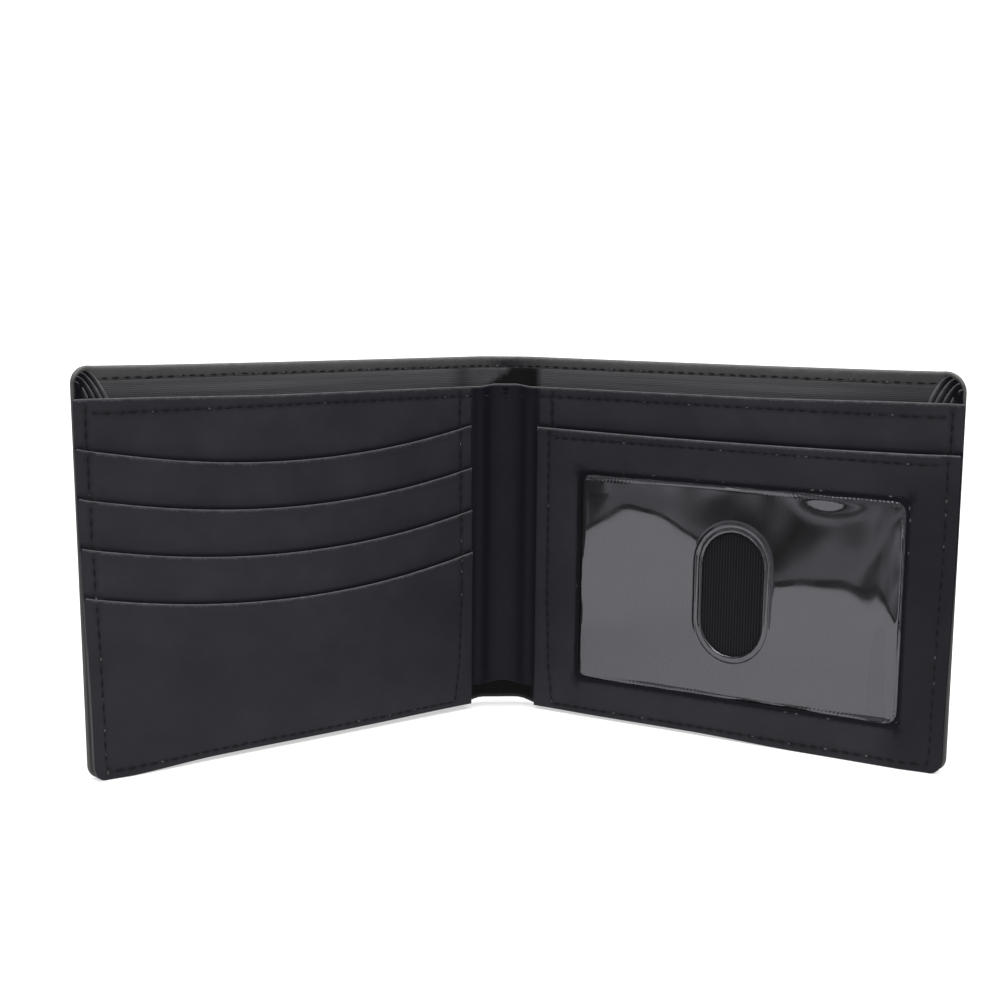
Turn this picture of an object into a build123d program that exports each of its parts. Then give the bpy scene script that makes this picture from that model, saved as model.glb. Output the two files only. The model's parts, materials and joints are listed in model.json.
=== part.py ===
from build123d import *
import os
from math import cos, radians, sin

# A bifold wallet that stands half open on its bottom edges. Two panels fold about upright axes
# at the edges of a narrow spine. Left: four card slots. Right: an ID window with a thumb hole.
# Each panel is drawn in its own plane: x runs from its fold axis to its free edge (negative on
# the left), y runs up, and depth is measured inward from the outer face of the cover.

# Driving dimensions, mm
HEIGHT = 90.0
SPINE_WIDTH = 12.0
REACH = 113.8  # fold axis to the free edge of the cover
REST_ANGLE = radians(37.4)  # each panel's turn away from lying flat open
POCKET_START = 5.8  # fold axis to the near edge of the divider and the pockets
POCKET_SETBACK = 0.4  # free edge of the cover to the free edge of the pockets
DIVIDER_TOP = 82.7
POCKET_BOTTOM = 0.8
TOP_RADIUS = 4.5
BOTTOM_RADIUS = 3.0
POCKET_RADIUS = 2.6

# Thickness of each sheet
LEATHER = 0.8
TURNED_EDGE = 0.4
STIFFENER = 0.35
LINING = 0.2
BILL_GAP = 1.5
DIVIDER_LEATHER = 0.4
SLOT_LEATHER = 0.3
FRONT_LEATHER = 0.35
WINDOW_LEATHER = 0.45
FILM = 0.25
THREAD = 0.4
THREAD_PROUD = 0.12

# Depth of each layer's outer side
AXIS_DEPTH = LEATHER / 2
BILL_LINING = LEATHER + TURNED_EDGE
GUSSET = BILL_LINING + LINING
DIVIDER_LINING = GUSSET + BILL_GAP
DIVIDER = DIVIDER_LINING + LINING
POCKETS = DIVIDER + DIVIDER_LEATHER

# Turned edges of the cover
HEM_HEIGHT = 3.2
HEM_DEPTH = 1.5
EDGE_WIDTH = 6.0
EDGE_START = 1.4
SEAM_HEIGHT = 3.7  # the divider's bottom edge is built out to the cover over this height

# How far the hidden sheets stand back from the edges that cover them
STIFFENER_GAP = 0.3
BILL_LINING_INSET = 1.0
BILL_LINING_GAP = 0.1
DIVIDER_LINING_INSET = 0.4
ID_LINING_INSET = 2.0

# Card slots
SLOT_COUNT = 4
SLOT_TOP = 72.5
SLOT_PITCH = 10.7
SLOT_DIP = 5.6
STRIP_HEIGHT = 22.0

# ID window, measured from the near edge of the pocket
WINDOW_TOP_EDGE = 72.0
WINDOW_DIP = 0.5
WINDOW_LEFT, WINDOW_RIGHT = 12.7, 96.2
WINDOW_LOW, WINDOW_HIGH = 9.6, 60.3
WINDOW_RADIUS = 3.5
FILM_MARGIN = 4.0
THUMB_CENTRE = (55.0, 35.7)
THUMB_WIDTH, THUMB_HEIGHT = 16.0, 30.0
THUMB_RIM = 2.1
CARD_GAP = 0.25

# Gusset
GUSSET_WIDTH = 8.0
GUSSET_INSET = 1.2
GUSSET_SHEET = 0.22
GUSSET_FOLDS = 4
GUSSET_TOP = 86.5

# Seams
HEM_SEAM = 87.6
HEM_SEAM_START = 1.0  # from the near end of the turned edge
DIVIDER_SEAM = 80.2
LIP_SEAM = 69.5
SIDE_SEAM = 4.0
FOLD_SEAM = 3.5
BOTTOM_SEAM = 2.2
WINDOW_SEAM = 1.5

# Spine
FOLD_GAP = 0.15
SPINE_DIVIDER_BOTTOM = 6.0
SPINE_VALLEY = 4.6
SPINE_CREST = 0.9
SPINE_CREST_HALF = 1.8
SPINE_BEND = 1.2
JOIN_GAP = 0.4

FOLD_X = SPINE_WIDTH / 2
POCKET_END = REACH - POCKET_SETBACK
DEPTH = POCKETS + (SLOT_COUNT - 1) * SLOT_LEATHER + FRONT_LEATHER
FRONT_REACH = POCKET_END * sin(REST_ANGLE) + (DEPTH - AXIS_DEPTH) * cos(REST_ANGLE)
COVER_FRONT = REACH * sin(REST_ANGLE) + (BILL_LINING - AXIS_DEPTH) * cos(REST_ANGLE)
# The fold axes stand where the outline's middle falls on the origin
FOLD_Y = (max(FRONT_REACH, COVER_FRONT) - AXIS_DEPTH) / 2
BELOW_HEM = HEIGHT - HEM_HEIGHT
SEAM_TOP = POCKET_BOTTOM + SEAM_HEIGHT
POCKET_SPAN = (POCKET_START, POCKET_END)
SLOT_ENDS = [SLOT_TOP - row * SLOT_PITCH for row in range(SLOT_COUNT)]
SIDES = {"left": -1, "right": 1}


def panel_plane(side, depth):
    """Upright plane of a panel at a depth: y up, and its normal points inward."""
    plane = Plane(
        origin=(side * FOLD_X, FOLD_Y, 0),
        x_dir=(cos(REST_ANGLE), -side * sin(REST_ANGLE), 0),
        z_dir=(-side * sin(REST_ANGLE), -cos(REST_ANGLE), 0),
    )
    return plane.offset(depth - AXIS_DEPTH)


def level_plane(side, height):
    """Level plane through a panel: x along it from the fold axis, and y outward."""
    return Plane(
        origin=(side * FOLD_X, FOLD_Y, height),
        x_dir=(cos(REST_ANGLE), -side * sin(REST_ANGLE), 0),
        z_dir=(0, 0, 1),
    )


def panel_point(side, along, depth):
    """Where a point of a panel is in plan."""
    inward = depth - AXIS_DEPTH
    x = FOLD_X + along * cos(REST_ANGLE) - inward * sin(REST_ANGLE)
    y = FOLD_Y - along * sin(REST_ANGLE) - inward * cos(REST_ANGLE)
    return (side * x, y)


def outline(side, start, end, bottom, top, low=0.0, high=0.0, dip=0.0):
    """Four-sided face with rounded free corners, whose top edge may dip in a shallow arc."""
    corners = [(side * x, y) for x in (start, end) for y in (bottom, top)]
    near_low, near_high, free_low, free_high = corners
    with BuildSketch() as face:
        with BuildLine():
            FilletPolyline(
                near_low, free_low, free_high, near_high, radius=(0, low, high, 0), close=True
            )
        make_face()
        if dip:
            with BuildLine():
                ThreePointArc(near_high, (side * (start + end) / 2, top - dip), free_high)
                Line(free_high, near_high)
            make_face(mode=Mode.SUBTRACT)
    return face.sketch


def sheet(side, depth, thickness, *size, low=0.0, high=0.0, dip=0.0):
    """One flat sheet of a panel; size is its start, end, bottom and top."""
    with BuildPart() as flat:
        with BuildSketch(panel_plane(side, depth)):
            add(outline(side, *size, low=low, high=high, dip=dip))
        extrude(amount=thickness)
    return flat.part


def thread(plane, *points):
    """One straight or cornered run of thread that lies on a plane."""
    with BuildPart() as run:
        with BuildSketch(plane):
            with BuildLine():
                Polyline(*points)
            trace(line_width=THREAD)
        extrude(amount=THREAD_PROUD)
    return run.part


def finish(piece, label):
    """Labels a finished piece and writes it."""
    piece.part.label = label
    export_step(piece.part, f"parts/{label}.step")


def cover(side):
    """Outer leather of one panel, with its edges turned over onto the inner side."""
    radii = {"low": BOTTOM_RADIUS, "high": TOP_RADIUS}
    whole = outline(side, EDGE_START, REACH, 0, HEIGHT, **radii)
    with BuildPart() as leather:
        add(sheet(side, 0, LEATHER, 0, REACH, 0, HEIGHT, **radii))
        # Round edge that turns on the fold axis
        with BuildSketch(Plane.XY):
            with Locations((side * FOLD_X, FOLD_Y)):
                Circle(AXIS_DEPTH)
        extrude(amount=HEIGHT)
        # Turned edges on all free sides, and the deeper hem along the top
        with BuildSketch(panel_plane(side, LEATHER)):
            add(whole)
            inner = outline(side, EDGE_START, REACH - EDGE_WIDTH, EDGE_WIDTH, BELOW_HEM)
            add(inner, mode=Mode.SUBTRACT)
        extrude(amount=TURNED_EDGE)
        with BuildSketch(panel_plane(side, LEATHER)):
            add(whole)
            add(outline(side, EDGE_START, REACH, 0, BELOW_HEM), mode=Mode.SUBTRACT)
        extrude(amount=HEM_DEPTH - LEATHER)
    return leather


def gusset(side):
    """Side gusset folded flat: one sheet in zigzag layers between the cover and the divider."""
    step = (BILL_GAP - GUSSET_SHEET) / (GUSSET_FOLDS - 1)
    outer = REACH - GUSSET_INSET
    inner = outer - GUSSET_WIDTH
    points = []
    for fold in range(GUSSET_FOLDS):
        y = AXIS_DEPTH - (GUSSET + GUSSET_SHEET / 2 + fold * step)
        ends = (outer, inner) if fold % 2 == 0 else (inner, outer)
        points += [(side * x, y) for x in ends]
    bottom = SEAM_TOP + LINING
    with BuildPart() as pleats:
        with BuildSketch(level_plane(side, bottom)):
            with BuildLine():
                Polyline(*points)
            trace(line_width=GUSSET_SHEET)
        extrude(amount=GUSSET_TOP - bottom)
    return pleats


def perimeter_seam(side, steps):
    """Seam round a panel. It steps back above each pocket's top edge: steps lists (top, depth)."""
    ends = [side * (POCKET_START + FOLD_SEAM), side * (REACH - SIDE_SEAM)]
    with BuildPart() as seam:
        add(thread(panel_plane(side, steps[0][1]), *[(x, BOTTOM_SEAM) for x in ends]))
        low = BOTTOM_SEAM
        for top, depth in steps:
            for x in ends:
                add(thread(panel_plane(side, depth), (x, low), (x, top - THREAD)))
            low = top + THREAD
    return seam


def spine_path():
    """Plan of the divider across the spine: slack, with a crest between two valleys."""
    middle = DIVIDER_LINING + (LINING + DIVIDER_LEATHER) / 2
    edge = panel_point(1, POCKET_START - JOIN_GAP, middle)
    valley = (SPINE_VALLEY, edge[1])
    crest = (SPINE_CREST_HALF, edge[1] - SPINE_CREST)
    right = [crest, valley, edge]
    left = [(-x, y) for x, y in reversed(right)]
    return FilletPolyline(*left, *right, radius=SPINE_BEND)


os.makedirs("parts", exist_ok=True)

# Cover, stiffener, bill lining and gusset of both panels
for hand, side in SIDES.items():
    finish(cover(side), f"cover_{hand}")

    with BuildPart() as stiffener:
        across = (EDGE_START + 2 * STIFFENER_GAP, REACH - EDGE_WIDTH - STIFFENER_GAP)
        upward = (EDGE_WIDTH + STIFFENER_GAP, BELOW_HEM - STIFFENER_GAP)
        add(sheet(side, LEATHER, STIFFENER, *across, *upward))
    finish(stiffener, f"stiffener_{hand}")

    with BuildPart() as bill_lining:
        across = (EDGE_START + BILL_LINING_GAP, REACH - BILL_LINING_INSET)
        upward = (BILL_LINING_INSET, BELOW_HEM - BILL_LINING_GAP)
        add(sheet(side, BILL_LINING, LINING, *across, *upward, low=BOTTOM_RADIUS))
    finish(bill_lining, f"bill_lining_{hand}")

    finish(gusset(side), f"gusset_{hand}")

# Divider of both panels: a lining behind, and leather in front whose bottom edge meets the cover
for hand, side in SIDES.items():
    with BuildPart() as divider_lining:
        across = (POCKET_START, POCKET_END - DIVIDER_LINING_INSET)
        upward = (SEAM_TOP, DIVIDER_TOP - DIVIDER_LINING_INSET)
        add(sheet(side, DIVIDER_LINING, LINING, *across, *upward))
    finish(divider_lining, f"divider_lining_{hand}")

    with BuildPart() as divider:
        face = (*POCKET_SPAN, POCKET_BOTTOM, DIVIDER_TOP)
        add(sheet(side, DIVIDER, DIVIDER_LEATHER, *face, low=POCKET_RADIUS))
        allowance = (*POCKET_SPAN, POCKET_BOTTOM, SEAM_TOP)
        add(sheet(side, GUSSET, DIVIDER - GUSSET, *allowance, low=POCKET_RADIUS))
    finish(divider, f"divider_{hand}")

# Left panel: four card slots, each with a dipped top edge. The first three are leather strips on
# fabric tongues that reach the bottom seam, and the last is the front face.
for row, top in enumerate(SLOT_ENDS):
    depth = POCKETS + row * SLOT_LEATHER
    is_front = row == SLOT_COUNT - 1
    bottom = POCKET_BOTTOM if is_front else top - STRIP_HEIGHT
    thickness = FRONT_LEATHER if is_front else SLOT_LEATHER
    radius = POCKET_RADIUS if is_front else 0
    with BuildPart() as card_slot:
        add(sheet(-1, depth, thickness, *POCKET_SPAN, bottom, top, low=radius, dip=SLOT_DIP))
    finish(card_slot, f"card_slot_{row + 1}")
    if not is_front:
        with BuildPart() as tongue:
            add(sheet(-1, depth, LINING, *POCKET_SPAN, POCKET_BOTTOM, bottom, low=POCKET_RADIUS))
        finish(tongue, f"slot_tongue_{row + 1}")

# Right panel: ribbed fabric, clear film with a thumb hole, and the leather window frame
with BuildPart() as id_pocket_lining:
    size = (*POCKET_SPAN, POCKET_BOTTOM, WINDOW_TOP_EDGE - ID_LINING_INSET)
    add(sheet(1, POCKETS, SLOT_LEATHER, *size, low=POCKET_RADIUS))
finish(id_pocket_lining, "id_pocket_lining")

film_depth = POCKETS + SLOT_LEATHER + CARD_GAP
frame_depth = DEPTH - WINDOW_LEATHER
thumb_place = (POCKET_START + THUMB_CENTRE[0], THUMB_CENTRE[1])
window = (
    POCKET_START + WINDOW_LEFT,
    POCKET_START + WINDOW_RIGHT,
    WINDOW_LOW,
    WINDOW_HIGH,
)
window_size = (WINDOW_RIGHT - WINDOW_LEFT, WINDOW_HIGH - WINDOW_LOW)
window_centre = ((window[0] + window[1]) / 2, (window[2] + window[3]) / 2)

with BuildPart() as id_window_film:
    with BuildSketch(panel_plane(1, film_depth)):
        with Locations(window_centre):
            Rectangle(*[size + 2 * FILM_MARGIN for size in window_size])
    extrude(amount=FILM)
    with BuildSketch(panel_plane(1, film_depth + FILM)):
        with Locations(thumb_place):
            rim = (THUMB_HEIGHT + 2 * THUMB_RIM, THUMB_WIDTH + 2 * THUMB_RIM)
            SlotOverall(*rim, rotation=90)
    extrude(amount=FILM)
    with BuildSketch(panel_plane(1, film_depth)):
        with Locations(thumb_place):
            SlotOverall(THUMB_HEIGHT, THUMB_WIDTH, rotation=90)
    extrude(amount=2 * FILM, mode=Mode.SUBTRACT)
finish(id_window_film, "id_window_film")

with BuildPart() as id_window_frame:
    with BuildSketch(panel_plane(1, frame_depth)):
        size = (*POCKET_SPAN, POCKET_BOTTOM, WINDOW_TOP_EDGE)
        add(outline(1, *size, low=POCKET_RADIUS, dip=WINDOW_DIP))
        with Locations(window_centre):
            RectangleRounded(*window_size, WINDOW_RADIUS, mode=Mode.SUBTRACT)
    extrude(amount=WINDOW_LEATHER)
finish(id_window_frame, "id_window_frame")

# Spine: outer leather with its turned hem, bill lining, and the slack middle of the divider
with BuildPart() as spine_leather:
    with BuildSketch(Plane.XY):
        with Locations((0, FOLD_Y)):
            Rectangle(2 * (FOLD_X - AXIS_DEPTH - FOLD_GAP), LEATHER)
    extrude(amount=HEIGHT)
    with BuildSketch(Plane.XY.offset(BELOW_HEM)):
        with Locations((0, FOLD_Y + AXIS_DEPTH - (LEATHER + HEM_DEPTH) / 2)):
            Rectangle(2 * (FOLD_X - EDGE_START), HEM_DEPTH - LEATHER)
    extrude(amount=HEM_HEIGHT)
finish(spine_leather, "spine_leather")

with BuildPart() as bill_lining_spine:
    with BuildSketch(Plane.XY.offset(BILL_LINING_INSET)):
        with BuildLine():
            edge = panel_point(1, EDGE_START, BILL_LINING + LINING / 2)
            flat = (FOLD_X - EDGE_START, FOLD_Y + AXIS_DEPTH - BILL_LINING + LINING / 2)
            ends = [edge, flat]
            Polyline(*[(-x, y) for x, y in ends], *reversed(ends))
        trace(line_width=LINING)
    extrude(amount=BELOW_HEM - BILL_LINING_GAP - BILL_LINING_INSET)
finish(bill_lining_spine, "bill_lining_spine")

with BuildPart() as divider_spine:
    with BuildSketch(Plane.XY.offset(SPINE_DIVIDER_BOTTOM)):
        with BuildLine():
            spine_path()
        trace(line_width=LINING + DIVIDER_LEATHER)
    extrude(amount=DIVIDER_TOP - SPINE_DIVIDER_BOTTOM)
finish(divider_spine, "divider_spine")

# Seams, each one run of thread
for hand, side in SIDES.items():
    with BuildPart() as hem_stitch:
        ends = (EDGE_START + HEM_SEAM_START, REACH - TOP_RADIUS)
        add(thread(panel_plane(side, HEM_DEPTH), *[(side * x, HEM_SEAM) for x in ends]))
    finish(hem_stitch, f"hem_stitch_{hand}")

    with BuildPart() as divider_stitch:
        ends = (POCKET_START + FOLD_SEAM + THREAD, REACH - SIDE_SEAM - THREAD)
        add(thread(panel_plane(side, POCKETS), *[(side * x, DIVIDER_SEAM) for x in ends]))
    finish(divider_stitch, f"divider_stitch_{hand}")

with BuildPart() as hem_stitch_spine:
    with BuildSketch(Plane.XY.offset(HEM_SEAM - THREAD / 2)):
        with Locations((0, FOLD_Y + AXIS_DEPTH - HEM_DEPTH - THREAD_PROUD / 2)):
            Rectangle(2 * (FOLD_X - EDGE_START - THREAD), THREAD_PROUD)
    extrude(amount=THREAD)
finish(hem_stitch_spine, "hem_stitch_spine")

with BuildPart() as divider_stitch_spine:
    sheet_width = LINING + DIVIDER_LEATHER
    with BuildSketch(Plane.XY.offset(DIVIDER_SEAM - THREAD / 2)):
        with BuildLine():
            spine_path()
        trace(line_width=sheet_width + 2 * THREAD_PROUD)
        with BuildLine():
            spine_path()
        trace(line_width=sheet_width, mode=Mode.SUBTRACT)
    extrude(amount=THREAD)
finish(divider_stitch_spine, "divider_stitch_spine")

# From the bottom up: each level's top edge and the depth of its face
slot_steps = [(DIVIDER_TOP, POCKETS)]
for row, top in enumerate(SLOT_ENDS[:-1]):
    slot_steps.append((top, POCKETS + (row + 1) * SLOT_LEATHER))
slot_steps.append((SLOT_ENDS[-1], DEPTH))
finish(perimeter_seam(-1, list(reversed(slot_steps))), "perimeter_stitch_left")
window_steps = [(WINDOW_TOP_EDGE, DEPTH), (DIVIDER_TOP, POCKETS)]
finish(perimeter_seam(1, window_steps), "perimeter_stitch_right")

with BuildPart() as window_lip_stitch:
    ends = (POCKET_START + FOLD_SEAM + THREAD, REACH - SIDE_SEAM - THREAD)
    add(thread(panel_plane(1, DEPTH), *[(x, LIP_SEAM) for x in ends]))
finish(window_lip_stitch, "window_lip_stitch")

with BuildPart() as window_stitch:
    with BuildSketch(panel_plane(1, DEPTH)):
        with Locations(window_centre):
            for growth, mode in ((WINDOW_SEAM + THREAD, Mode.ADD), (WINDOW_SEAM, Mode.SUBTRACT)):
                loop = [size + 2 * growth for size in window_size]
                RectangleRounded(*loop, WINDOW_RADIUS + growth, mode=mode)
    extrude(amount=THREAD_PROUD)
finish(window_stitch, "window_stitch")
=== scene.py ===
import json
from math import atan2, cos, pi, radians, sin, tan

import bmesh
import bpy
import numpy as np
from mathutils import Matrix, Vector, geometry


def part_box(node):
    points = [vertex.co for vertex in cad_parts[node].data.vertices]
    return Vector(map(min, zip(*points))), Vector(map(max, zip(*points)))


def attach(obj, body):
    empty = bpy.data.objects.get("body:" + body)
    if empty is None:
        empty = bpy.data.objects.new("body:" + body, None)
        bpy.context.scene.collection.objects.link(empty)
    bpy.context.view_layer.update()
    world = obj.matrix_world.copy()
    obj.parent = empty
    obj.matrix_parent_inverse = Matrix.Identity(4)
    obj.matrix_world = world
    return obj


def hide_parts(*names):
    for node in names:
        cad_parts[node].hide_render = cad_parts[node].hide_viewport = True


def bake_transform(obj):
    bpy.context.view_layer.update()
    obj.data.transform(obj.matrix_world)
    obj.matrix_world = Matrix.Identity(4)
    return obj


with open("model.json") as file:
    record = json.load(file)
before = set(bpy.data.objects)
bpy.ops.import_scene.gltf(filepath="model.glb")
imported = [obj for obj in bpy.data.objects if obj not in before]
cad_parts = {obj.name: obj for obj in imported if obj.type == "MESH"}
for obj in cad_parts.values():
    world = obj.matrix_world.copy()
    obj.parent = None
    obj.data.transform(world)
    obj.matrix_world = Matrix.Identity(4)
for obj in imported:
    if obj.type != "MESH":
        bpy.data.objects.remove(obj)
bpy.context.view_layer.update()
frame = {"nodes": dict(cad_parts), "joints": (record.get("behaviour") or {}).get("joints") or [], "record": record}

# A bifold wallet that stands half open. Shapes are worked out in millimetres in the terms of one
# panel: "along" runs from the fold axis to the free edge, "up" from the bottom edge, and "depth"
# inward from the outer face of the cover. A plan function then bends them round the spine.

MM = 0.001
SIDES = {"left": -1, "right": 1}
random = np.random.default_rng(11)


# ---- what the frame says

joint = {j["name"]: j for j in frame["joints"]}
mount = {m["name"]: m for m in frame["record"]["mounts"]}
FOLD_X, FOLD_Y = [c / MM for c in joint["right_fold"]["pos_m"][:2]]
ANGLE = atan2(*mount["right_back"]["axis"][:2])
AXIS_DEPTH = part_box("spine_leather")[1].y / MM - FOLD_Y


def extent(node):
    """Lowest and highest along, up and depth of a CAD node of a panel."""
    side = -1 if node.endswith("left") or node.startswith(("card", "slot")) else 1
    points = np.array([v.co for v in frame["nodes"][node].data.vertices]) / MM
    x, y = side * points[:, 0] - FOLD_X, points[:, 1] - FOLD_Y
    along = x * cos(ANGLE) - y * sin(ANGLE)
    depth = AXIS_DEPTH - x * sin(ANGLE) - y * cos(ANGLE)
    return [(v.min(), v.max()) for v in (along, points[:, 2], depth)]


(_, REACH), (_, HEIGHT), (_, HEM_DEPTH) = extent("cover_left")
(_, LINING_END), (LINING_LOW, LINING_TOP), (LINING_BACK, LINING_FRONT) = extent("bill_lining_left")
(GUSSET_INNER, GUSSET_OUTER), (GUSSET_LOW, _), (GAP_BACK, GAP_FRONT) = extent("gusset_left")
(POCKET_START, POCKET_END), (POCKET_LOW, DIVIDER_TOP), (_, DIVIDER_FRONT) = extent("divider_left")
(_, REAR_END), (REAR_LOW, REAR_TOP), (_, DIVIDER_BACK) = extent("divider_lining_left")
SPINE_LOW, SPINE_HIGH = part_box("divider_spine")
SLOTS = [extent(f"card_slot_{row}") for row in (1, 2, 3, 4)]
_, (_, WINDOW_LIP), (FRAME_BACK, FACE) = extent("id_window_frame")
(FILM_START, FILM_END), (FILM_LOW, FILM_TOP), (FILM_BACK, _) = extent("id_window_film")
(BOARD_START, BOARD_END), (BOARD_LOW, BOARD_TOP), (LEATHER, BOARD_FRONT) = extent("stiffener_left")
HEM_SEAM, DIVIDER_SEAM, LIP_SEAM = (
    sum(extent(node)[1]) / 2 for node in ("hem_stitch_left", "divider_stitch_left", "window_lip_stitch")
)
(SEAM_START, SEAM_END), (SEAM_LOW, _), _ = extent("perimeter_stitch_left")
HEM_LOW = HEM_SEAM - 0.4

# Shapes the CAD model leaves plain, in millimetres
TOP_RADIUS = {-1: 3.8, 1: 4.7}  # of the cover's free top corner, on the left and on the right
BOTTOM_RADIUS = 3.1
POCKET_RADIUS = 2.6
SMALL_RADIUS = 0.5
BEND_RADIUS = 6.0
TOP_CORNER_RISE = 0.4
SPINE_ARCH = 0.3
SLOT_DIP, LIP_DIP = 5.6, 0.5
SLOT_GAPE, LIP_GAPE = 0.38, 0.12
SEAM_DENT = 0.14
SLACK = 0.35
GUSSET_SHEET = 0.22
CLEARANCE = 0.01
PLEATS = 4
WINDOW = (FILM_START + 4.4, FILM_END - 3.0, FILM_LOW + 4.4, FILM_TOP - 3.2)
INWARD = (1, -1, 1, -1)  # which way is inward at each side of the window
WINDOW_RADIUS = 3.0
WINDOW_SEAM_GAP = 0.9
FILM = 0.25
FILM_TILTS = (  # share of the window's length, width of the wave, steepness
    (0.06, 0.05, 0.004), (0.17, 0.08, 0.009), (0.30, 0.09, 0.011), (0.44, 0.09, 0.003),
    (0.60, 0.08, -0.015), (0.72, 0.08, -0.004), (0.84, 0.07, 0.008), (0.94, 0.05, 0.026),
)
THUMB_CENTRE, THUMB_WIDTH, THUMB_HEIGHT = (FILM_START + 46.3, 35.2), 16.0, 30.0
RIM_WIDTH, RIM_RIDGE = 2.1, 0.13
STITCH_PITCH, STITCH_LENGTH, THREAD = 2.7, 2.05, 0.36
# Share of stitches that get a spot of painted glint
PAINTED_GLINT_CHANCE = 0.16
THREAD_SINK = 0.1
CREASE_ROWS = (0.9, 1.5, 1.75, 2.0, 2.3, 2.8)  # below a lip
SHADOW_ROWS = (-1.1, -0.6, -0.15)

# How dark some places are, from 0 to 1
SEAM_SHADE, COVER_SEAM_SHADE, CUT_EDGE_SHADE = 0.75, 0.4, 0.92


# ---- small maths

def smooth(share):
    """0 below 0, 1 above 1, and a soft step between."""
    share = np.clip(share, 0, 1)
    return share * share * (3 - 2 * share)


def near(value, centre, width):
    """1 at centre, falling softly to 0 over about twice the width."""
    return np.exp(-(((value - centre) / width) ** 2))


def level(value):
    """A number as a function of along and up. A function stays as it is."""
    return value if callable(value) else lambda along, up: np.full_like(along, value)


def level_line(value):
    """A number as a function of along. A function stays as it is."""
    return value if callable(value) else lambda along: value + 0 * along


# ---- plan of the sheets

TANGENT = BEND_RADIUS * tan(ANGLE / 2)


def cover_plan(along, depth):
    """Plan of the cover and its lining: flat spine, a bend about the fold axis, flat panel."""
    turn = np.clip((along + TANGENT) / (2 * TANGENT), 0, 1) * ANGLE
    radius = BEND_RADIUS - (depth - AXIS_DEPTH)
    before = np.minimum(along + TANGENT, 0)
    after = np.maximum(along - TANGENT, 0)
    x = FOLD_X - TANGENT + radius * np.sin(turn) + before + after * cos(ANGLE)
    y = FOLD_Y - BEND_RADIUS + radius * np.cos(turn) - after * sin(ANGLE)
    return x, y


def rounded(corners, reach):
    """A polyline with each corner rounded off, as many points."""
    points = [np.array(corners[0], float)]
    for before, corner, after in zip(corners, corners[1:], corners[2:]):
        before, corner, after = (np.array(p, float) for p in (before, corner, after))
        start = corner + (before - corner) * reach / np.linalg.norm(before - corner)
        end = corner + (after - corner) * reach / np.linalg.norm(after - corner)
        for t in np.linspace(0, 1, 12):
            points.append(start * (1 - t) ** 2 + corner * 2 * t * (1 - t) + end * t * t)
    points.append(np.array(corners[-1], float))
    return np.array(points)


def divider_path():
    """The divider's middle line in plan, from the middle of the spine to the free edge."""
    half = (DIVIDER_FRONT - GAP_FRONT) / 2
    flat, crest = SPINE_HIGH.y / MM - half, SPINE_LOW.y / MM + half
    middle = (DIVIDER_FRONT + GAP_FRONT) / 2
    edge, end = (
        [float(c) for c in cover_plan(np.array(a), np.array(middle))]
        for a in (POCKET_START - 0.3, REACH + 5)
    )
    line = rounded([(0, crest), (1.6, crest), (4.5, flat), edge, end], 1.25)
    steps = np.linalg.norm(np.diff(line, axis=0), axis=1)
    length = np.concatenate([[0], np.cumsum(steps)])
    return line, length - length[-1] + REACH + 5


DIVIDER_LINE, DIVIDER_ALONG = divider_path()
DIVIDER_START = DIVIDER_ALONG[0]


def divider_plan(along, depth):
    """Plan of the divider and its lining: slack across the spine, then flat on the panel."""
    x, y = (np.interp(along, DIVIDER_ALONG, line) for line in DIVIDER_LINE.T)
    ahead, behind = along + 0.25, np.maximum(along - 0.25, DIVIDER_START)
    dx, dy = (
        np.interp(ahead, DIVIDER_ALONG, line) - np.interp(behind, DIVIDER_ALONG, line)
        for line in DIVIDER_LINE.T
    )
    dy = np.where(along < DIVIDER_START + 0.05, 0, dy)
    size = np.hypot(dx, dy)
    inward = depth - (DIVIDER_FRONT + GAP_FRONT) / 2
    return x + inward * dy / size, y - inward * dx / size


# ---- how the sheets settle

PINCH, PINCH_SHIFT = 1.45, 0.8
PINCH_START, PINCH_END = 103.5, 110.5
LIFT_FADE = 25


def settle(side, along, up, depth):
    """Where a point ends up once the free edge is sewn shut and the panel has warped a little.

    Returns along, up and depth. The free edge is pinched and leans outward at the top, the panel
    stands a little high near the spine, and the pockets have gentle waves and reach down to the
    cover's edge near the free end.
    """
    inner = np.clip((depth - GAP_BACK) / (GAP_FRONT - GAP_BACK), 0, 1)
    pull = smooth((along - PINCH_START) / (PINCH_END - PINCH_START))
    height = 0.45 + 0.55 * smooth((up - 8) / 50)
    away = np.clip(along / REACH, 0, 1)
    lean = (0.1 + 0.1 * side + (0.45 - 0.35 * side) * (up - HEIGHT / 2) / (HEIGHT / 2)) * away ** 2
    if side < 0:
        foot = 0.30 * (1 - away ** 2.5) + 0.25 * smooth((40 - along) / 30) + 0.70 * smooth((5 - along) / 6)
        drop = 0.75 * smooth((away - 0.72) / 0.22)
        upper = 0.5 + 0.3 * smooth((6 - along) / 10)
    else:
        foot = 0.05 * (1 - away) + 1.20 * smooth((6.5 - along) / 9)
        drop = 0.15 * smooth(away / 0.3) + 0.60 * smooth((away - 0.45) / 0.25)
        upper = 0.8 - 0.6 * away
    lift = (foot + (upper - foot) * smooth(up / LIFT_FADE)) * smooth((DIVIDER_TOP + 1 - up) / 14)
    lift = lift - drop * smooth((depth - GAP_FRONT) / 0.3) * smooth((3.6 - up) / 3)
    wave = 0.10 * np.sin(along / 17 + side) * np.sin(up / 21 + 0.7 * side + 1)
    wave = wave + 0.05 * np.sin(along / 7.3 + up / 19 - side)
    wave = wave * smooth((depth - 0.9) / 1.5) * smooth((along - 8) / 16)
    inner = inner * pull * height
    return along + PINCH_SHIFT * inner + lean, up + lift, depth - PINCH * inner + wave


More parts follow.
